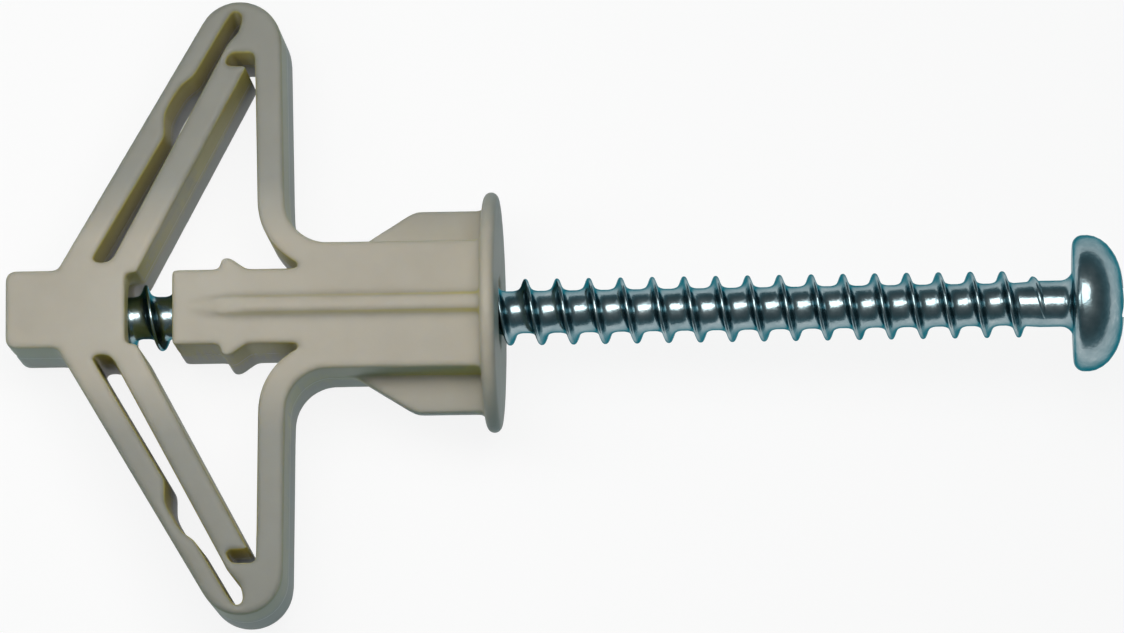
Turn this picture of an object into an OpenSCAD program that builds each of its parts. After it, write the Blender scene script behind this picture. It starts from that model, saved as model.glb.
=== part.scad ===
// Plastic toggle anchor for hollow walls, with its pan-head screw.
//
// Frame: X runs along the screw, towards its head. X = 0 is the face of the
// flange that lies against the board. The two legs spread along +Y and -Y,
// and Z runs through the thickness of the moulding.

/* [Flange] */
// Diameter of the flange
flange_d = 16; // [14.5:0.5:20]
// Thickness of the flange
flange_t = 1; // [0.8:0.1:1.6]

/* [Sleeve] */
// Thickness of the whole moulding, front face to back face
body_t = 9.2; // [8.4:0.2:10]
// Height of the sleeve, across the two legs
sleeve_h = 8.4; // [8:0.1:9]
// Distance from the flange to the centre of the elbows
elbow_x = 10.15; // [9.5:0.1:12]
// Distance over the two fins that grip the board
fin_span = 13.5; // [12:0.2:14]
// Thickness of the fins
fin_t = 1.6; // [1:0.1:2]
// Length of the fins at full height, from the flange
fin_len = 4.2; // [3:0.1:5]
// Slope of the fins' leading edge
fin_slope = 32; // [28:1:45]
// Radius at the top and at the foot of that slope
fin_r = 1.5; // [0.8:0.1:1.8]
// Distance over the ribs on the front and back faces
rib_span = 10.6; // [10:0.2:12]
// Thickness of the ribs at their foot
rib_t = 1.5; // [1:0.1:2]
// Thickness of the ribs at their top
rib_top_t = 0.8; // [0.6:0.1:1]
// Length of the ribs at full height, from the flange
rib_len = 15.5; // [12:0.1:16]
// Length of the ribs' pointed ramp
rib_ramp = 4; // [3:0.1:5.5]

/* [Inner tube] */
// Height of the tube that reaches in between the legs
tube_h = 5; // [4.9:0.1:5.4]
// Distance from the flange to the free end of the tube
tube_end = 20.4; // [20:0.1:22]
// Height of the barbs on the tube
barb_h = 0.8; // [0.5:0.1:1]
// Length of each barb
barb_len = 1.7; // [1.4:0.1:2]
// Distance from the flange to the steep side of the barbs
barb_x = 17.2; // [16.8:0.1:18]

/* [Nose] */
// Distance from the flange to the tip of the nose
nose_tip = 31.4; // [31:0.1:33]
// Length of the nose
nose_len = 7.9; // [7:0.1:8.5]
// Height of the nose
nose_h = 5.16; // [5:0.1:5.6]
// Corner radius of the nose
nose_r = 0.6; // [0.3:0.1:1]

/* [Legs] */
// Distance over the tips of the two legs
leg_span = 41; // [38:0.5:44]
// Thickness of the bars that bear on the back of the board
bar_t = 1.8; // [1.5:0.1:2]
// Inner radius of the elbow between bar and sleeve
elbow_r = 2.8; // [2.4:0.1:3.2]
// Radius of the leg's tip
apex_r = 2.8; // [2.5:0.1:3.1]
// Distance from the nose's tip to the foot of the outer strap
strap_foot = 3.4; // [2.8:0.1:3.6]
// Thickness of the outer strap
strap_t = 1.65; // [1.4:0.05:1.8]
// Thickness of the outer strap next to the leg's tip
strap_tip_t = 1.3; // [1.1:0.05:1.4]
// Depth of the flexing notch in the outer strap
strap_notch = 0.8; // [0.4:0.05:0.9]
// Thickness of the inner strut
strut_t = 1.85; // [1.6:0.05:2]
// Gap between the end of the strut and the bar
strut_gap = 0.5; // [0.4:0.1:1]
// Width of the cut between the end of the strut and the leg's tip
hinge_cut = 0.85; // [0.6:0.1:1.1]
// Thickness of the film hinge that joins the strut to the leg's tip
hinge_t = 0.5; // [0.4:0.05:0.7]
// Width of the slot's round end in the leg's tip
slot_end_w = 0.84; // [0.6:0.02:1]
// Wall left outside that round end
slot_end_wall = 0.65; // [0.5:0.05:0.9]
// Lean of the bars, away from the flange, in degrees
bar_lean = 0.9; // [0:0.1:2]
// Distance along the strap from its foot to the flexing notch
notch_at = 11.1; // [9:0.1:12]
// Length of the flexing notch
notch_len = 4.7; // [3.5:0.1:5.5]

/* [Screw] */
// Length of the screw under its head
screw_len = 70; // [60:1:70]
// Distance from the flange's board side to the screw's head
head_x = 38.8; // [30:0.1:38.8]
// Diameter over the thread
thread_d = 4.4; // [4:0.1:4.4]
// Diameter of the core
core_d = 2.8; // [2.5:0.1:3]
// Pitch of the thread
pitch = 2.1; // [1.8:0.1:2.4]
// Width of the thread at its foot
thread_foot = 0.94; // [0.7:0.02:1.1]
// Width of the thread at its crest
thread_crest = 0.2; // [0.1:0.02:0.3]
// Length of the thread's pointed end
point_len = 5; // [4:0.5:7]
// Diameter of the plain neck under the head
neck_d = 3.15; // [3.1:0.05:3.4]
// Length of the plain neck under the head
neck_len = 2; // [1.2:0.1:3]
// Diameter of the head
head_d = 9; // [8:0.05:9.5]
// Height of the head
head_h = 3.4; // [2.8:0.1:4]
// Radius between the neck and the head
neck_r = 0.6; // [0.3:0.1:0.65]
// Radius round the edge of the head's flat underside
head_edge_r = 0.7; // [0.4:0.05:0.8]
// Span of the cross recess
recess_span = 4.6; // [3.8:0.1:5]
// Width of the recess's wings
recess_w = 1.05; // [0.8:0.05:1.2]
// Depth of the recess
recess_depth = 2.2; // [1.6:0.1:2.4]

/* [Hidden] */
// Running clearance between the thread and the bore, on the radius
bore_clear = 0.08;
// How far one shape runs into the next where they are joined
lap = 0.4;
// Clear space between the bore and the feet of the struts
foot_clear = 0.07;
// Depth of the solid root between nose and slot
root_depth = 0.5;
// Height of the leg tip's centre over the strut's end
strut_drop = 1.5;
// Radius that softens the slot's corners
slot_corner = 0.25;
// Reach of the struts' feet past the nose
foot_reach = 0.75;
// Sides of every round surface
$fn = 96;
// Steps of the thread in one turn
turn_steps = 18;

bore_r = thread_d / 2 + bore_clear;
nose_back = -(nose_tip - nose_len);
sleeve_y = sleeve_h / 2;
tube_y = tube_h / 2;
nose_y = nose_h / 2;

// The elbow of the +Y leg: a quarter ring about this point.
elbow = [-elbow_x, sleeve_y + elbow_r];
// A point turned about the elbow by the bar's lean.
function leaned(p) = let (d = p - elbow)
    elbow + [d.x * cos(bar_lean) - d.y * sin(bar_lean), d.x * sin(bar_lean) + d.y * cos(bar_lean)];
// The x of the bar's far face at height y.
function bar_far(y) = elbow.x - (elbow_r + bar_t) / cos(bar_lean) - (y - elbow.y) * tan(bar_lean);
// Where the slit between bar and tube closes.
slit_x = elbow.x - sqrt(pow(elbow_r + bar_t, 2) - pow(elbow.y - tube_y - 0.1, 2));

// The leg's tip: a disc that the bar and the strap both touch.
apex = leaned([elbow.x - elbow_r - apex_r, leg_span / 2 - apex_r]);
// Outer edge of the strap, from the nose's top to a tangent of the disc.
strap_foot_at = [-nose_tip + strap_foot, nose_y];
foot_to_apex = apex - strap_foot_at;
strap_dir = atan2(foot_to_apex.y, foot_to_apex.x) + asin(apex_r / norm(foot_to_apex));
strap_len = sqrt(pow(norm(foot_to_apex), 2) - pow(apex_r, 2));

// A point of the strap: s along its outer edge, t in from that edge.
function strap_at(s, t) = strap_foot_at + s * [cos(strap_dir), sin(strap_dir)]
    + t * [sin(strap_dir), -cos(strap_dir)];
// The same, at height y.
function strap_at_y(y, t) =
    let (s = (y - strap_foot_at.y + t * cos(strap_dir)) / sin(strap_dir)) strap_at(s, t);

// Foot of the strut's inner edge, and the end of that edge next to the bar.
strut_end_y = apex.y - strut_drop;
strut_foot = [nose_back + foot_reach, bore_r + foot_clear];
strut_end = [bar_far(strut_end_y) - strut_gap, strut_end_y];
strut_run = strut_end - strut_foot;
strut_dir = atan2(strut_run.y, strut_run.x);
// The x of the strut at height y, t out from its inner edge.
function strut_x(y, t) = strut_foot.x + (y - strut_foot.y) / tan(strut_dir) - t / sin(strut_dir);
// Underside of the leg's tip, above the cut.
block_y = strut_end_y + hinge_cut;

// Round end of the slot, inside the leg's tip.
slot_end_r = slot_end_w / 2;
slot_rise = sqrt(pow(apex_r - slot_end_wall - slot_end_r, 2) - pow(apex_r - strap_tip_t - slot_end_r, 2));
slot_end_at = strap_at(strap_len + slot_rise, strap_tip_t + slot_end_r);

function arc(at, r, from, to, steps = 8) =
    [for (i = [0:steps]) let (a = from + (to - from) * i / steps) at + r * [cos(a), sin(a)]];

// ---------------------------------------------------------------- moulding

// The strap, thinned by the flexing notch that leans into it like a scoop.
module strap_outline() {
    floor_t = strap_t - strap_notch;
    polygon([
        strap_at(-nose_y, 0), strap_at(strap_len, 0), strap_at(strap_len, strap_tip_t),
        strap_at(notch_at + notch_len, strap_tip_t),
        strap_at(notch_at + notch_len * 0.93, strap_tip_t - 0.08),
        strap_at(notch_at + notch_len * 0.86, strap_tip_t - 0.25),
        strap_at(notch_at + notch_len * 0.78, floor_t + 0.05),
        strap_at(notch_at + notch_len * 0.7, floor_t), strap_at(notch_at + notch_len * 0.42, floor_t),
        strap_at(notch_at + notch_len * 0.3, floor_t + 0.08),
        strap_at(notch_at + notch_len * 0.16, strap_t - 0.35),
        strap_at(notch_at + notch_len * 0.06, strap_t - 0.04),
        strap_at(notch_at, strap_t), strap_at(-nose_y, strap_t),
    ]);
}

module strut_outline()
    polygon([
        strut_foot, strut_end,
        [strut_x(strut_end_y, strut_t), strut_end_y],
        [strut_x(strut_foot.y, strut_t), strut_foot.y],
    ]);

// The solid corner that nose, strap and strut share.
module root_outline() {
    top = nose_y + root_depth;
    polygon([
        strap_at_y(0, lap), strap_at_y(top + slot_corner, lap),
        strap_at_y(top + slot_corner, strap_t - lap / 8), strap_at_y(top, strap_t + slot_corner),
        [strut_x(top, strut_t + slot_corner), top],
        [strut_x(top + slot_corner, strut_t - lap / 8), top + slot_corner],
        [strut_x(top + slot_corner, lap), top + slot_corner], strut_foot,
        [nose_back - lap, strut_foot.y], [nose_back - lap, 0],
    ]);
}

// Film hinge along the slot, from the strut's end to the leg's tip.
module hinge_outline() {
    y0 = strut_end_y - lap;
    y1 = block_y + lap;
    polygon([
        [strut_x(y0, strut_t), y0], [strut_x(y1, strut_t), y1],
        [strut_x(y1, strut_t) + hinge_t, y1], [strut_x(y0, strut_t) + hinge_t, y0],
    ]);
}

// The leg's tip, with the round end of the slot cut into it.
module apex_outline()
    difference() {
        intersection() {
            union() {
                translate(apex) circle(apex_r);
                polygon([
                    strap_at_y(block_y, 0), strap_at(strap_len, 0),
                    apex, [bar_far(block_y) + lap, block_y],
                ]);
            }
            translate([apex.x - 3 * apex_r, block_y]) square(6 * apex_r);
        }
        slot_end_outline();
    }

module slot_end_outline() {
    translate(slot_end_at) circle(slot_end_r);
    polygon([
        strap_at_y(block_y - lap, strap_tip_t), strap_at_y(slot_end_at.y, strap_tip_t),
        slot_end_at + [slot_end_r, 0],
        slot_end_at + [slot_end_r * 0.6, -slot_end_r * 2],
        [strut_x(block_y, strut_t) + 0.25, block_y + 0.5],
        [strut_x(block_y - lap, strut_t), block_y - lap],
    ]);
}

module elbow_outline()
    intersection() {
        difference() {
            translate(elbow) circle(elbow_r + bar_t);
            translate(elbow) circle(elbow_r);
        }
        polygon([
            elbow + [lap, lap / 2], leaned(elbow + [-2 * bar_t - elbow_r, lap / 2]),
            elbow - 2 * [elbow_r, elbow_r], elbow + [lap, -2 * elbow_r],
        ]);
    }

module bar_outline()
    polygon([
        leaned(elbow + [-elbow_r - bar_t, 0]), leaned(elbow + [-elbow_r, 0]),
        leaned([elbow.x - elbow_r, leg_span / 2 - apex_r]), apex,
        [bar_far(block_y), block_y],
    ]);

// One leg, on the +Y side.
module leg_outline() {
    strap_outline();
    strut_outline();
    root_outline();
    hinge_outline();
    apex_outline();
    elbow_outline();
    bar_outline();
}

module nose_outline()
    for (side = [-1, 1]) {
        translate([-nose_tip + nose_r, side * (nose_y - nose_r)]) circle(nose_r);
        translate([-nose_tip + nose_r, -nose_y]) square([nose_len - nose_r, nose_h]);
        translate([-nose_tip, -nose_y + nose_r]) square([nose_len, nose_h - 2 * nose_r]);
    }

// A barb on the tube's +Y side, steep towards the nose.
module barb_outline()
    polygon([
        [-barb_x, tube_y - lap], [-barb_x, tube_y + barb_h * 0.75],
        [-barb_x + barb_len * 0.2, tube_y + barb_h],
        [-barb_x + barb_len * 0.4, tube_y + barb_h * 0.9],
        [-barb_x + barb_len, tube_y], [-barb_x + barb_len, tube_y - lap],
    ]);

module tube_outline() {
    translate([-tube_end, -tube_y]) square([tube_end, tube_h]);
    for (side = [0, 1]) mirror([0, side]) barb_outline();
}

module sleeve_outline()
    translate([slit_x, -sleeve_y]) square([-slit_x, sleeve_h]);

module fin_outline() {
    rise = fin_span / 2 - sleeve_y;
    // The straight part of the slope between its two radii.
    slope_run = (rise - 2 * fin_r * (1 - cos(fin_slope))) / tan(fin_slope);
    top_end = -fin_len;
    foot_start = top_end - 2 * fin_r * sin(fin_slope) - slope_run;
    polygon(concat(
        [[0, 0], [0, fin_span / 2]],
        arc([top_end, fin_span / 2 - fin_r], fin_r, 90, 90 + fin_slope),
        arc([foot_start, sleeve_y + fin_r], fin_r, 270 + fin_slope, 270),
        [[foot_start, 0]]
    ));
}

// A rib's outline from above, its outline from the side and its section.
module rib_plan()
    polygon([
        [0, rib_t / 2], [0, -rib_t / 2], [-rib_len, -rib_t / 2],
        [-rib_len - rib_ramp, -0.2], [-rib_len - rib_ramp, 0.2], [-rib_len, rib_t / 2],
    ]);

module rib_side()
    polygon([
        [0, body_t / 2 - lap], [0, rib_span / 2], [-rib_len, rib_span / 2],
        [-rib_len - rib_ramp, body_t / 2], [-rib_len - rib_ramp, body_t / 2 - lap],
    ]);

module rib_section()
    polygon([
        [-rib_t / 2, body_t / 2 - lap], [rib_t / 2, body_t / 2 - lap],
        [rib_t / 2, body_t / 2], [rib_top_t / 2, rib_span / 2],
        [-rib_top_t / 2, rib_span / 2], [-rib_t / 2, body_t / 2],
    ]);

module rib()
    intersection() {
        linear_extrude(rib_span) rib_plan();
        rotate([90, 0, 0]) linear_extrude(2 * rib_t, center = true) rib_side();
        rotate([90, 0, -90]) linear_extrude(rib_len + rib_ramp + 1) rib_section();
    }

module flange()
    rotate([0, 90, 0]) rotate_extrude() {
        square([(flange_d - flange_t) / 2, flange_t]);
        translate([(flange_d - flange_t) / 2, flange_t / 2]) intersection() {
            circle(flange_t / 2);
            translate([0, -flange_t]) square(2 * flange_t);
        }
    }

module anchor_body()
    color([0.70, 0.66, 0.59]) difference() {
        union() {
            linear_extrude(body_t, center = true) {
                nose_outline();
                for (side = [0, 1]) mirror([0, side]) leg_outline();
                tube_outline();
                sleeve_outline();
            }
            linear_extrude(fin_t, center = true)
                for (side = [0, 1]) mirror([0, side]) fin_outline();
            for (side = [0, 1]) mirror([0, 0, side]) rib();
            flange();
        }
        translate([-nose_tip - 1, 0, 0]) rotate([0, 90, 0])
            cylinder(h = nose_tip + flange_t + 2, r = bore_r);
    }

// ------------------------------------------------------------------- screw

tip_x = head_x - screw_len;
thread_end_x = head_x - neck_len;
turns = floor((thread_end_x - tip_x) / pitch - 0.5);
thread_start_x = thread_end_x - (turns + 0.5) * pitch;

// Share of the full size that core and thread have at x: they run to a point.
function point_share(x) = min(1, 0.12 + 0.88 * (x - tip_x) / point_len);
// The thread fades into the neck over its last turn.
function fade(x) = min(1, max(0, (thread_end_x - x) / pitch));
function core_r(x) = core_d / 2 * point_share(x);
function crest_r(x) = core_r(x) + (thread_d - core_d) / 2 * point_share(x) * fade(x);

// Across one pitch: foot, crest, crest, foot.
thread_rows = [
    [0, 0], [(thread_foot - thread_crest) / 2, 1],
    [(thread_foot + thread_crest) / 2, 1], [thread_foot, 0],
];
function thread_point(step, row) =
    let (turn = step / turn_steps, angle = 360 * turn,
         x = thread_start_x + pitch * turn + thread_rows[row][0],
         r = thread_rows[row][1] == 1 ? crest_r(x) : core_r(x))
    [x, r * cos(angle), r * sin(angle)];

// Core and thread as one closed surface: four rows of points wind along the
// helix, and each turn's last row meets the next turn's first.
module threaded_core() {
    last = turns * turn_steps;
    rows = len(thread_rows);
    points = concat(
        [for (step = [0:last]) for (row = [0:rows - 1]) thread_point(step, row)],
        [[tip_x, 0, 0], [thread_end_x + lap, 0, 0]]
    );
    tip = rows * (last + 1);
    tail = tip + 1;
    function id(step, row) = rows * step + row;
    along = [for (step = [0:last - 1]) for (row = [0:rows - 2])
        each [[id(step, row), id(step + 1, row + 1), id(step + 1, row)],
              [id(step, row), id(step, row + 1), id(step + 1, row + 1)]]];
    between = [for (step = [0:last - turn_steps - 1])
        each [[id(step, 3), id(step + turn_steps + 1, 0), id(step + 1, 3)],
              [id(step, 3), id(step + turn_steps, 0), id(step + turn_steps + 1, 0)]]];
    point_cap = concat(
        [for (step = [0:turn_steps - 1]) [tip, id(step, 0), id(step + 1, 0)]],
        [[tip, id(turn_steps, 0), id(0, 3)], [tip, id(0, 3), id(0, 0)],
         [id(0, 0), id(0, 3), id(0, 2)], [id(0, 0), id(0, 2), id(0, 1)]]
    );
    tail_cap = concat(
        [for (step = [last - turn_steps:last - 1]) [tail, id(step + 1, 3), id(step, 3)]],
        [[tail, id(last - turn_steps, 3), id(last, 0)], [tail, id(last, 0), id(last, 3)],
         [id(last, 0), id(last, 1), id(last, 2)], [id(last, 0), id(last, 2), id(last, 3)]]
    );
    polyhedron(points, concat(along, between, point_cap, tail_cap));
}

// Half section of neck and head, from the neck's start to the top.
module head_section() {
    edge = head_d / 2 - head_edge_r;
    crown_r = head_h * 0.8;
    intersection() {
        union() {
            translate([0, head_edge_r]) square([head_d / 2, head_h - head_edge_r]);
            square([edge, head_h]);
            translate([edge, head_edge_r]) circle(head_edge_r);
        }
        union() {
            square([head_d / 2 - crown_r * 0.85, head_h]);
            square([head_d / 2, head_h - crown_r]);
            translate([head_d / 2 - crown_r, head_h - crown_r]) circle(crown_r);
        }
        square([head_d, head_h]);
    }
    // The neck starts inside the thread's last turn.
    polygon([
        [0, lap], [neck_d / 2, lap], [neck_d / 2, -neck_len - pitch],
        [core_d / 2 - 0.05, -neck_len - 1.5 * pitch], [0, -neck_len - 1.5 * pitch],
    ]);
    difference() {
        translate([0, -neck_r]) square([neck_d / 2 + neck_r, neck_r + lap]);
        translate([neck_d / 2 + neck_r, -neck_r]) circle(neck_r);
    }
}

// Cross recess: two crossed slots inside a cone.
module recess()
    translate([0, 0, head_h - recess_depth]) intersection() {
        cylinder(h = recess_depth + 1, r1 = recess_span * 0.22,
                 r2 = recess_span * (0.5 + 0.28 / recess_depth));
        linear_extrude(recess_depth + 1) {
            square([recess_span, recess_w], center = true);
            square([recess_w, recess_span], center = true);
        }
    }

module screw()
    color([0.66, 0.67, 0.68]) {
        threaded_core();
        translate([head_x, 0, 0]) rotate([0, 90, 0]) difference() {
            rotate_extrude($fn = 60) head_section($fn = 32);
            recess($fn = 48);
        }
    }

anchor_body();
screw();
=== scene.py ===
"""Looks for the hollow-wall anchor and its screw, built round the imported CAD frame.

The frame is in metres. Shapes are worked out in mm and scaled by MM. Where a number is in
metres instead, the comment above it says so.
"""
import math

import bmesh
import bpy
from mathutils import Matrix, Vector
from mathutils.bvhtree import BVHTree


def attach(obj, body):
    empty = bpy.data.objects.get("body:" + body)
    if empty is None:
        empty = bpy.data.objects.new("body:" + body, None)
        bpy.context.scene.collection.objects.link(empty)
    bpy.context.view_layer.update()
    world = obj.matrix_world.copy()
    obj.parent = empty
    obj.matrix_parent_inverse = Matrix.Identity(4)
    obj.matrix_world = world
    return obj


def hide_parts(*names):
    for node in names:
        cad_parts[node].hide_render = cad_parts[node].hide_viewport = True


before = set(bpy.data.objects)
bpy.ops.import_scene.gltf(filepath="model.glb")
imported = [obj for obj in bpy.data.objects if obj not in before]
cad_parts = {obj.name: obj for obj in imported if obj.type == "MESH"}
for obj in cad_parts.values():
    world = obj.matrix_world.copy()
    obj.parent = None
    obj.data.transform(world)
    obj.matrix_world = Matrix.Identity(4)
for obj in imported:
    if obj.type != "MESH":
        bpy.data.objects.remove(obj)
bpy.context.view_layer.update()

MM = 0.001
scene = bpy.context.scene


def lin(r, g, b):
    """sRGB 0-255 to linear."""
    def f(c):
        c /= 255
        return c / 12.92 if c <= 0.04045 else ((c + 0.055) / 1.055) ** 2.4
    return (f(r), f(g), f(b))


def clamp(value):
    return min(1.0, max(0.0, value))


# ------------------------------------------------------------------ sizes, mm
HEAD_X, SCREW_LEN, POINT_LEN = 38.8, 70.0, 5.0  # HEAD_X is the underside of the head
THREAD_R, CORE_R, PITCH = 2.2, 1.4, 2.1
NECK_R, NECK_LEN, NECK_FILLET = 1.53, 2.0, 0.8
HEAD_R, HEAD_H, HEAD_EDGE_R = 4.5, 3.4, 0.7

# The thread's profile up to its crest: mm along the axis, share of the thread's height.
# It is mirrored about CREST_AT, and THREAD_PHASE puts the crests on the solid's.
FLANK = [(0.00, 0.0), (0.15, 0.025), (0.32, 0.085), (0.46, 0.19), (0.56, 0.36),
         (0.64, 0.60), (0.70, 0.83), (0.745, 0.955), (0.80, 1.0)]
CREST_AT, THREAD_PHASE = 0.84, 0.47
STEPS_PER_TURN, TURNS, EXTRA_TURNS = 64, 32.25, 0.1
# The thread grows over RUN_IN pitches at the tip. At the neck it fades over RUN_OUT pitches,
# which end RUN_OUT_PAST mm beyond the neck's start.
RUN_IN, RUN_OUT, RUN_OUT_PAST, RUN_OUT_POWER = 0.8, 0.95, 0.6, 1.2
TIP_SHARE, TIP_THREAD_GAIN = 0.10, 1.15  # share of the radius at the tip; thread over core there

# The neck's cone rises out of the core, from and to so many pitches before the neck.
NECK_FROM, NECK_TO, NECK_SUNK = 1.2, 0.1, 0.04
# The head's crown above its rounded edge: x from the underside, radius.
CROWN = [(1.05, 4.5), (1.45, 4.42), (1.9, 4.2), (2.3, 3.88), (2.6, 3.5), (2.85, 3.1),
         (3.05, 2.62), (3.2, 2.1), (3.3, 1.5), (3.37, 0.8), (3.4, 0.0)]
HEAD_SIDES, ARC_STEPS, SHARP_DEG = 128, 8, 38  # edges sharper than SHARP_DEG stay sharp
# The cross recess: height over the crown, reach of a wing, width of a wing.
RECESS_LEVELS = [(0.4, 2.45, 1.15), (-1.5, 1.35, 0.95), (-2.2, 0.75, 0.6)]
RECESS_INNER = 0.62  # the corner between two wings, in widths from each wing's middle
RECESS_TURN = 0.5    # in quarter turns, so that no wing notches the outline seen from +Z

# The moulding is welded, remeshed, smoothed to round its edges, and thinned.
WELD, VOXEL, SMOOTH_FACTOR, SMOOTH_ROUNDS, KEEP_SHARE = 1e-5, 0.16, 0.5, 15, 0.45

# The floor runs through these two points: under the flange's rim, and under the nose.
FLOOR_A, FLOOR_B = Vector((0.5, 0, -8.0)), Vector((-31.4, 0, -4.8))
FLOOR_DROP, FLOOR_HALF = 0.05, 900.0


# ------------------------------------------------------------------ node trees
class Nodes:
    """A node tree, with short calls to fill it."""

    def __init__(self, tree):
        self.tree = tree
        self.tree.nodes.clear()

    def add(self, kind, **settings):
        """A new node. A setting is one of its own, or else the value of an input."""
        node = self.tree.nodes.new("ShaderNode" + kind)
        for key, value in settings.items():
            if hasattr(node, key):
                setattr(node, key, value)
            else:
                node.inputs[key.replace("_", " ")].default_value = value
        return node

    def link(self, a, b):
        self.tree.links.new(a, b)

    def math(self, operation, *values):
        node = self.add("Math", operation=operation)
        for value, socket in zip(values, node.inputs):
            self.link(value, socket)
        return node.outputs[0]

    def ramp(self, source, stops):
        """A linear colour ramp: (position, linear colour) for each stop."""
        node = self.add("ValToRGB")
        elements = node.color_ramp.elements
        while len(elements) < len(stops):
            elements.new(0.5)
        for element, (position, colour) in zip(elements, stops):
            element.position = position
            element.color = (*colour, 1)
        self.link(source, node.inputs["Fac"])
        return node.outputs[0]

    def noise(self, vector, scale, detail, roughness):
        node = self.add("TexNoise", Scale=scale, Detail=detail, Roughness=roughness)
        self.link(vector, node.inputs["Vector"])
        return node.outputs["Fac"]

    def map_range(self, value, **limits):
        node = self.add("MapRange", **limits)
        self.link(value, node.inputs["Value"])
        return node.outputs[0]

    def tint(self, factor, base, colour, blend="MIX"):
        node = self.add("MixRGB", blend_type=blend)
        node.inputs[2].default_value = (*colour, 1)
        self.link(factor, node.inputs[0])
        self.link(base, node.inputs[1])
        return node.outputs[0]

    def bump(self, height, strength, distance, normal=None):
        node = self.add("Bump", Strength=strength, Distance=distance)
        self.link(height, node.inputs["Height"])
        if normal is not None:
            self.link(normal, node.inputs["Normal"])
        return node.outputs[0]


def new_material(name):
    material = bpy.data.materials.new(name)
    material.use_nodes = True
    return material, Nodes(material.node_tree)


# ------------------------------------------------------------------ materials
# Distances in the two materials are in metres.
def nylon_material():
    """Greyish cream nylon, with painted shade in recesses and a painted highlight on the parting
    line. The vertex attributes recess and wall, written by the mask pass on the moulding, place
    them.
    """
    material, n = new_material("nylon")
    out, bsdf = n.add("OutputMaterial"), n.add("BsdfPrincipled")
    n.link(bsdf.outputs[0], out.inputs[0])
    coord = n.add("TexCoord").outputs["Object"]
    cloud = n.noise(coord, scale=110, detail=4, roughness=0.6)
    fine = n.noise(coord, scale=2600, detail=3, roughness=0.6)
    colour = n.ramp(cloud, [(0.30, lin(170, 163, 149)), (0.55, lin(177, 171, 158)),
                            (0.8, lin(183, 178, 166))])
    # The photo shows the legs and fins greyer than the middle: a tint by distance from it.
    place = n.add("SeparateXYZ")
    n.link(coord, place.inputs[0])
    aside = n.math("ABSOLUTE", place.outputs["Y"])
    colour = n.tint(n.map_range(aside, From_Min=0.0045, From_Max=0.0085), colour,
                    (0.66, 0.71, 0.75), "MULTIPLY")
    # Painted shade: enclosed walls and the upper side walls of the legs are tinted olive,
    # standing in for the dim, warm light in the nylon's recesses.
    recess = n.add("Attribute", attribute_name="recess").outputs["Fac"]
    colour = n.tint(recess, colour, lin(190, 181, 112))
    # The mould's parting line: a fine bead at half depth on the side walls, raised by bump and
    # painted pale, a painted highlight where it catches the light.
    off = n.math("ABSOLUTE", place.outputs["Z"])
    bead = n.map_range(off, From_Min=0.00016, From_Max=0.00004)
    wall = n.add("Attribute", attribute_name="wall").outputs["Fac"]
    line = n.math("MULTIPLY", bead, wall)
    n.link(n.tint(line, colour, lin(205, 200, 188)), bsdf.inputs["Base Color"])
    n.link(n.map_range(cloud, To_Min=0.42, To_Max=0.56), bsdf.inputs["Roughness"])
    normal = n.bump(fine, strength=0.12, distance=0.00004)
    normal = n.bump(cloud, strength=0.25, distance=0.00012, normal=normal)
    normal = n.bump(line, strength=0.6, distance=0.00006, normal=normal)
    n.link(normal, bsdf.inputs["Normal"])
    bsdf.inputs["Subsurface Weight"].default_value = 0.55
    bsdf.inputs["Subsurface Radius"].default_value = (1.0, 0.8, 0.5)
    bsdf.inputs["Subsurface Scale"].default_value = 0.0012
    bsdf.inputs["IOR"].default_value = 1.5
    bsdf.inputs["Specular IOR Level"].default_value = 0.25
    return material


def zinc_material():
    """Bluish zinc plating, a little blotchy."""
    material, n = new_material("zinc_steel")
    out, bsdf = n.add("OutputMaterial"), n.add("BsdfPrincipled")
    n.link(bsdf.outputs[0], out.inputs[0])
    bsdf.inputs["Metallic"].default_value = 1.0
    # Painted reflection: a dark teal specular tint makes the metal go dark teal at a grazing
    # look, for the teal surroundings it mirrors there.
    bsdf.inputs["Specular Tint"].default_value = (0.05, 0.27, 0.33, 1)
    coord = n.add("TexCoord").outputs["Object"]
    blotch = n.noise(coord, scale=800, detail=4, roughness=0.6)
    fine = n.noise(coord, scale=2400, detail=3, roughness=0.6)
    colour = n.ramp(blotch, [(0.35, lin(136, 158, 164)), (0.6, lin(158, 176, 181)),
                             (0.8, lin(190, 200, 202))])
    n.link(colour, bsdf.inputs["Base Color"])
    n.link(n.map_range(blotch, To_Min=0.15, To_Max=0.30), bsdf.inputs["Roughness"])
    normal = n.bump(fine, strength=0.2, distance=0.00003)
    normal = n.bump(blotch, strength=0.4, distance=0.0001, normal=normal)
    n.link(normal, bsdf.inputs["Normal"])
    return material


def floor_material():
    """White to camera, glossy and transmission rays, keeping the shadow; teal to others."""
    material, n = new_material("floor")
    out = n.add("OutputMaterial")
    shaded = n.add("BsdfDiffuse", Color=(0.93, 0.93, 0.93, 1))
    white = n.add("Emission", Color=(1, 1, 1, 1), Strength=1.0)
    cool = n.add("BsdfDiffuse", Color=(*lin(110, 176, 186), 1))
    seen = n.add("MixShader")
    seen.inputs[0].default_value = 0.88  # share of white, the rest takes the shadow
    n.link(shaded.outputs[0], seen.inputs[1])
    n.link(white.outputs[0], seen.inputs[2])
    rays = n.add("LightPath").outputs
    direct = n.math("MAXIMUM", rays["Is Camera Ray"], rays["Is Glossy Ray"])
    clear = n.math("MAXIMUM", direct, rays["Is Transmission Ray"])
    pick = n.add("MixShader")
    n.link(clear, pick.inputs[0])
    n.link(cool.outputs[0], pick.inputs[1])
    n.link(seen.outputs[0], pick.inputs[2])
    n.link(pick.outputs[0], out.inputs[0])
    return material


# ------------------------------------------------------------------ helpers
def smooth_faces(mesh):
    mesh.polygons.foreach_set("use_smooth", [True] * len(mesh.polygons))


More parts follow.
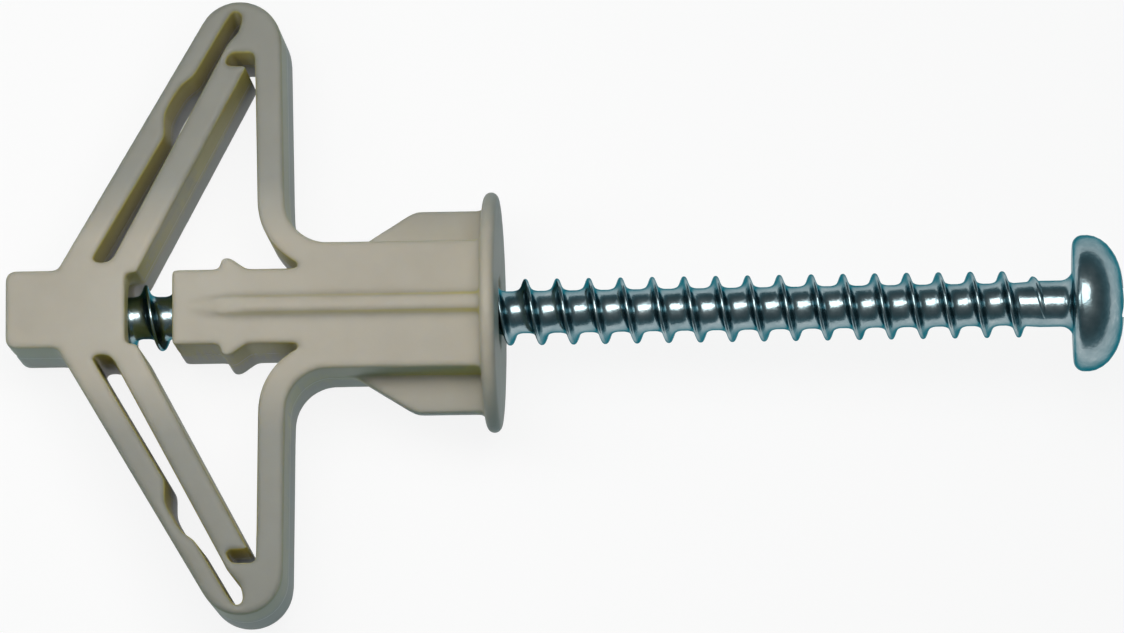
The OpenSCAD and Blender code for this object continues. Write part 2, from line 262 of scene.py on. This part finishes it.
def new_object(name, verts, faces, material, smooth=True):
    mesh = bpy.data.meshes.new(name)
    mesh.from_pydata([tuple(v) for v in verts], [], [tuple(f) for f in faces])
    mesh.update()
    obj = bpy.data.objects.new(name, mesh)
    scene.collection.objects.link(obj)
    mesh.materials.append(material)
    if smooth:
        smooth_faces(mesh)
    return obj


def apply_modifiers(obj):
    depsgraph = bpy.context.evaluated_depsgraph_get()
    mesh = bpy.data.meshes.new_from_object(obj.evaluated_get(depsgraph))
    obj.modifiers.clear()
    obj.data = mesh


# ------------------------------------------------------------------ anchor
def anchor_piece(material):
    """The moulding with its edges rounded: the CAD solid, remeshed and smoothed."""
    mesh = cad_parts["anchor_body"].data.copy()
    mesh.materials.clear()
    mesh.transform(Matrix.Scale(1 / MM, 4))
    obj = bpy.data.objects.new("anchor_moulding", mesh)
    scene.collection.objects.link(obj)
    bm = bmesh.new()
    bm.from_mesh(mesh)
    bmesh.ops.remove_doubles(bm, verts=bm.verts, dist=WELD)
    bm.to_mesh(mesh)
    bm.free()
    remesh = obj.modifiers.new("voxels", "REMESH")
    remesh.mode = "VOXEL"
    remesh.voxel_size = VOXEL
    smooth = obj.modifiers.new("round", "SMOOTH")
    smooth.factor = SMOOTH_FACTOR
    smooth.iterations = SMOOTH_ROUNDS
    thin = obj.modifiers.new("thin", "DECIMATE")
    thin.ratio = KEEP_SHARE
    apply_modifiers(obj)
    obj.data.transform(Matrix.Scale(MM, 4))
    obj.data.materials.clear()
    obj.data.materials.append(material)
    smooth_faces(obj.data)
    return obj


# How the masks for the painted shade in recesses and for the parting line are read off the
# moulding. Lengths are in metres.
RAY_COUNT, RAY_LEN, RAY_LIFT = 14, 0.006, 2e-5
HITS_FROM, HITS_SPAN = 0.08, 0.35  # share of rays that hit, where the tint starts and its span
WALL_NZ, WALL_NZ_SPAN = 0.75, 0.3  # a wall's normal has |z| under the first
BORE_R, BORE_FROM_X = 0.0026, -0.0236  # nearer the axis than BORE_R is bore, from that x on
LOW_Z, LOW_FADE = -0.0012, 0.001   # no tint lower than LOW_Z, full from LOW_FADE above it
BAND_X, BAND_SHARE, BAND_FADE = -0.001, 0.30, 0.0012  # least tint of upper walls below BAND_X


def hemisphere(count):
    """Directions spread over a half sphere round +Z, denser towards the pole."""
    golden = math.pi * (3 - math.sqrt(5))
    rays = []
    for i in range(count):
        h = math.sqrt((i + 0.5) / count)
        r = math.sqrt(1 - h * h)
        rays.append((r * math.cos(i * golden), r * math.sin(i * golden), h))
    return rays


def enclosed(tree, v, rays):
    """Share of the rays from a vertex that meet the moulding again nearby."""
    n = v.normal
    t = n.orthogonal().normalized()
    b = n.cross(t)
    start = v.co + n * RAY_LIFT
    hits = sum(1 for x, y, z in rays
               if tree.ray_cast(start, t * x + b * y + n * z, RAY_LEN)[0] is not None)
    return hits / len(rays)


def mask_painted_shade_and_bead(obj):
    """Vertex attributes: recess, how enclosed a wall is, for the painted shade, and wall, 1 on
    the side walls, where the parting line's bead and its painted highlight go.
    """
    mesh = obj.data
    bm = bmesh.new()
    bm.from_mesh(mesh)
    tree = BVHTree.FromBMesh(bm)
    rays = hemisphere(RAY_COUNT)
    recess, wall = [], []
    for v in bm.verts:
        x, y, z = v.co
        upright = clamp((WALL_NZ - abs(v.normal.z)) / WALL_NZ_SPAN)
        outside = math.hypot(y, z) > BORE_R or x < BORE_FROM_X
        value = 0.0
        if upright > 0 and z > LOW_Z:
            value = clamp((enclosed(tree, v, rays) - HITS_FROM) / HITS_SPAN) * upright
            value *= clamp((z - LOW_Z) / LOW_FADE)
            # Painted shade: upper walls with x below BAND_X get at least BAND_SHARE of the olive
            # tint.
            if x < BAND_X:
                value = max(value, BAND_SHARE * upright * clamp(z / BAND_FADE))
        recess.append(value)
        wall.append(upright if outside else 0.0)
    bm.free()
    for name, values in (("recess", recess), ("wall", wall)):
        mesh.attributes.new(name, "FLOAT", "POINT").data.foreach_set("value", values)


# ------------------------------------------------------------------ screw
def screw_shank(material):
    """Core, thread and point as one helical surface."""
    tip_x = HEAD_X - SCREW_LEN
    end_x = HEAD_X - NECK_LEN
    x0 = end_x - TURNS * PITCH + THREAD_PHASE - CREST_AT
    steps = STEPS_PER_TURN
    count = int((TURNS + EXTRA_TURNS) * steps)
    profile = FLANK + [(2 * CREST_AT - dx, h) for dx, h in reversed(FLANK)]
    rows = len(profile)
    verts = []
    for i in range(count + 1):
        a = 2 * math.pi * (i / steps - TURNS + 0.5)
        for dx, h in profile:
            x = x0 + PITCH * i / steps + dx
            point = min(1.0, TIP_SHARE + (1 - TIP_SHARE) * (x - tip_x) / POINT_LEN)
            fade = clamp((end_x + RUN_OUT_PAST - x) / (RUN_OUT * PITCH)) ** RUN_OUT_POWER
            start = clamp((x - x0) / (RUN_IN * PITCH))
            height = (THREAD_R - CORE_R) * h * min(1, point * TIP_THREAD_GAIN) * fade * start
            r = CORE_R * point + height
            verts.append((x * MM, r * math.cos(a) * MM, r * math.sin(a) * MM))
    faces = []
    for i in range(count):
        for k in range(rows - 1):
            a = i * rows + k
            faces.append((a, a + 1, a + rows + 1, a + rows))
        if i + steps < count:
            a, b = i * rows + rows - 1, (i + steps) * rows
            faces.append((a, b, b + rows, a + rows))
    # Close the first turn to the point.
    tip = len(verts)
    verts.append((tip_x * MM, 0, 0))
    for i in range(steps):
        faces.append((tip, i * rows, (i + 1) * rows))
    for k in range(rows - 1):
        faces.append((tip, k + 1, k))
    faces.append((tip, steps * rows, rows - 1))
    return new_object("screw_shank", verts, faces, material)


def head_profile():
    """Half section of the neck and head: (x, r), x from the head's underside."""
    pts = [(-NECK_LEN - NECK_FROM * PITCH, CORE_R - NECK_SUNK),
           (-NECK_LEN - NECK_TO * PITCH, NECK_R)]
    for i in range(ARC_STEPS + 1):
        a = math.radians(90 * i / ARC_STEPS)
        pts.append((-NECK_FILLET * (1 - math.sin(a)), NECK_R + NECK_FILLET * (1 - math.cos(a))))
    for i in range(ARC_STEPS + 1):
        a = math.radians(-90 + 90 * i / ARC_STEPS)
        pts.append((HEAD_EDGE_R * (1 + math.sin(a)), HEAD_R - HEAD_EDGE_R * (1 - math.cos(a))))
    return pts + CROWN


def screw_head(material):
    """Neck and pan head, turned from the profile, with the recess cut in."""
    pts = head_profile()
    verts, faces = [], []
    for x, r in pts[:-1]:
        for s in range(HEAD_SIDES):
            a = 2 * math.pi * s / HEAD_SIDES
            verts.append((HEAD_X + x, r * math.cos(a), r * math.sin(a)))
    for i in range(len(pts) - 2):
        for s in range(HEAD_SIDES):
            a, b = i * HEAD_SIDES + s, i * HEAD_SIDES + (s + 1) % HEAD_SIDES
            faces.append((a, b, b + HEAD_SIDES, a + HEAD_SIDES))
    top = len(verts)
    verts.append((HEAD_X + pts[-1][0], 0, 0))
    last = (len(pts) - 2) * HEAD_SIDES
    for s in range(HEAD_SIDES):
        faces.append((last + s, last + (s + 1) % HEAD_SIDES, top))
    faces.append(tuple(reversed(range(HEAD_SIDES))))
    obj = new_object("screw_head", verts, faces, material)
    cutter = recess_cutter(material)
    cut = obj.modifiers.new("recess", "BOOLEAN")
    cut.operation = "DIFFERENCE"
    cut.solver = "EXACT"
    cut.object = cutter
    apply_modifiers(obj)
    bpy.data.objects.remove(cutter)
    obj.data.transform(Matrix.Scale(MM, 4))
    smooth_faces(obj.data)
    with bpy.context.temp_override(object=obj, active_object=obj, selected_objects=[obj],
                                   selected_editable_objects=[obj]):
        bpy.ops.object.shade_smooth_by_angle(angle=math.radians(SHARP_DEG))
    return obj


def recess_cutter(material):
    """Cross recess: four wings that taper downwards."""
    verts, faces = [], []
    for height, span, width in RECESS_LEVELS:
        inner = width * RECESS_INNER
        for q in range(4):
            a = math.pi / 2 * (q + RECESS_TURN)
            for u, v in ((span, -0.5 * width), (span, 0.5 * width), (inner, inner)):
                verts.append((HEAD_X + HEAD_H + height, u * math.cos(a) - v * math.sin(a),
                              u * math.sin(a) + v * math.cos(a)))
    n = len(verts) // len(RECESS_LEVELS)
    for level in range(len(RECESS_LEVELS) - 1):
        low, high = level * n, (level + 1) * n
        for i in range(n):
            j = (i + 1) % n
            faces.append((low + i, low + j, high + j, high + i))
    faces.append(tuple(reversed(range(n))))
    faces.append(tuple(range(len(verts) - n, len(verts))))
    cutter = new_object("cutter", verts, faces, material, smooth=False)
    bm = bmesh.new()
    bm.from_mesh(cutter.data)
    bmesh.ops.recalc_face_normals(bm, faces=bm.faces)
    bm.to_mesh(cutter.data)
    bm.free()
    return cutter


# ------------------------------------------------------------------ stage
def floor_plane():
    slope = math.atan2(FLOOR_B.z - FLOOR_A.z, FLOOR_A.x - FLOOR_B.x)
    along = Vector((math.cos(slope), 0, -math.sin(slope)))
    centre = FLOOR_A + Vector((0, 0, -FLOOR_DROP))
    corners = [centre + along * sx * FLOOR_HALF + Vector((0, sy * FLOOR_HALF, 0))
               for sx, sy in ((-1, -1), (1, -1), (1, 1), (-1, 1))]
    return new_object("floor", [c * MM for c in corners], [(0, 1, 2, 3)], floor_material(),
                      smooth=False)


def studio_world():
    """A dim room with a pale ceiling, the same for every ray."""
    world = bpy.data.worlds.new("studio")
    scene.world = world
    world.use_nodes = True
    n = Nodes(world.node_tree)
    coord, split = n.add("TexCoord"), n.add("SeparateXYZ")
    back, out = n.add("Background"), n.add("OutputWorld")
    n.link(coord.outputs["Generated"], split.inputs[0])
    sky = n.ramp(split.outputs["Z"], [
        (0.0, lin(96, 126, 134)), (0.45, lin(76, 92, 96)), (0.8, lin(100, 106, 108)),
        (0.94, lin(140, 142, 142)), (1.0, lin(190, 190, 188))])
    n.link(sky, back.inputs["Color"])
    n.link(back.outputs[0], out.inputs[0])


def area(name, position, target, size, size_y, power, colour):
    """An area lamp, square where size_y is None. Metres and watts."""
    light = bpy.data.lights.new(name, "AREA")
    light.size = size
    if size_y:
        light.shape = "RECTANGLE"
        light.size_y = size_y
    light.energy = power
    light.color = colour
    obj = bpy.data.objects.new(name, light)
    scene.collection.objects.link(obj)
    obj.location = position
    aim = Vector(target) - Vector(position)
    obj.rotation_euler = aim.to_track_quat("-Z", "Y").to_euler()


# ------------------------------------------------------------------ camera
PHOTO_W, SENSOR_W = 1124, 36.0
FOCAL_PX, DISTANCE = 7300.0, 483.0
YAW_DEG, PITCH_DEG, ROLL_DEG = 2.66, 9.0, 0.5
TARGET = Vector((5.07, -0.33, 0))


def add_camera():
    yaw, pitch, roll = map(math.radians, (YAW_DEG, PITCH_DEG, ROLL_DEG))
    back = Vector((math.sin(yaw) * math.cos(pitch), -math.sin(pitch),
                   math.cos(yaw) * math.cos(pitch))).normalized()
    right = Vector((0, 1, 0)).cross(back).normalized()
    up = back.cross(right)
    c, s = math.cos(-roll), math.sin(-roll)
    right, up = right * c + up * s, up * c - right * s
    data = bpy.data.cameras.new("camera")
    camera = bpy.data.objects.new("camera", data)
    scene.collection.objects.link(camera)
    turn = Matrix((right, up, back)).transposed().to_4x4()
    camera.matrix_world = Matrix.Translation((TARGET + back * DISTANCE) * MM) @ turn
    data.sensor_fit = "HORIZONTAL"
    data.sensor_width = SENSOR_W
    data.lens = FOCAL_PX * SENSOR_W / PHOTO_W
    data.clip_start, data.clip_end = 0.01, 10
    scene.camera = camera


# ------------------------------------------------------------------ the scene
nylon = nylon_material()
zinc = zinc_material()
anchor = anchor_piece(nylon)
mask_painted_shade_and_bead(anchor)
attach(anchor, "anchor")
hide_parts("anchor_body")
shank = screw_shank(zinc)
head = screw_head(zinc)
for piece in (shank, head):
    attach(piece, "driven_screw")
    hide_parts("screw")

floor = floor_plane()
studio_world()
area("softbox", (0.006, 0.024, 0.17), (0.006, 0, 0), 0.12, 0.085, 0.140, (1.0, 0.99, 0.97))
area("key", (-0.020, 0.002, 0.046), (-0.020, 0, 0), 0.040, 0.010, 0.0064, (1.0, 0.98, 0.95))
area("fill", (-0.25, 0.12, 0.35), (0, 0, 0), 0.25, None, 0.10, (0.97, 0.98, 1.0))
add_camera()
scene.view_settings.view_transform = "Standard"
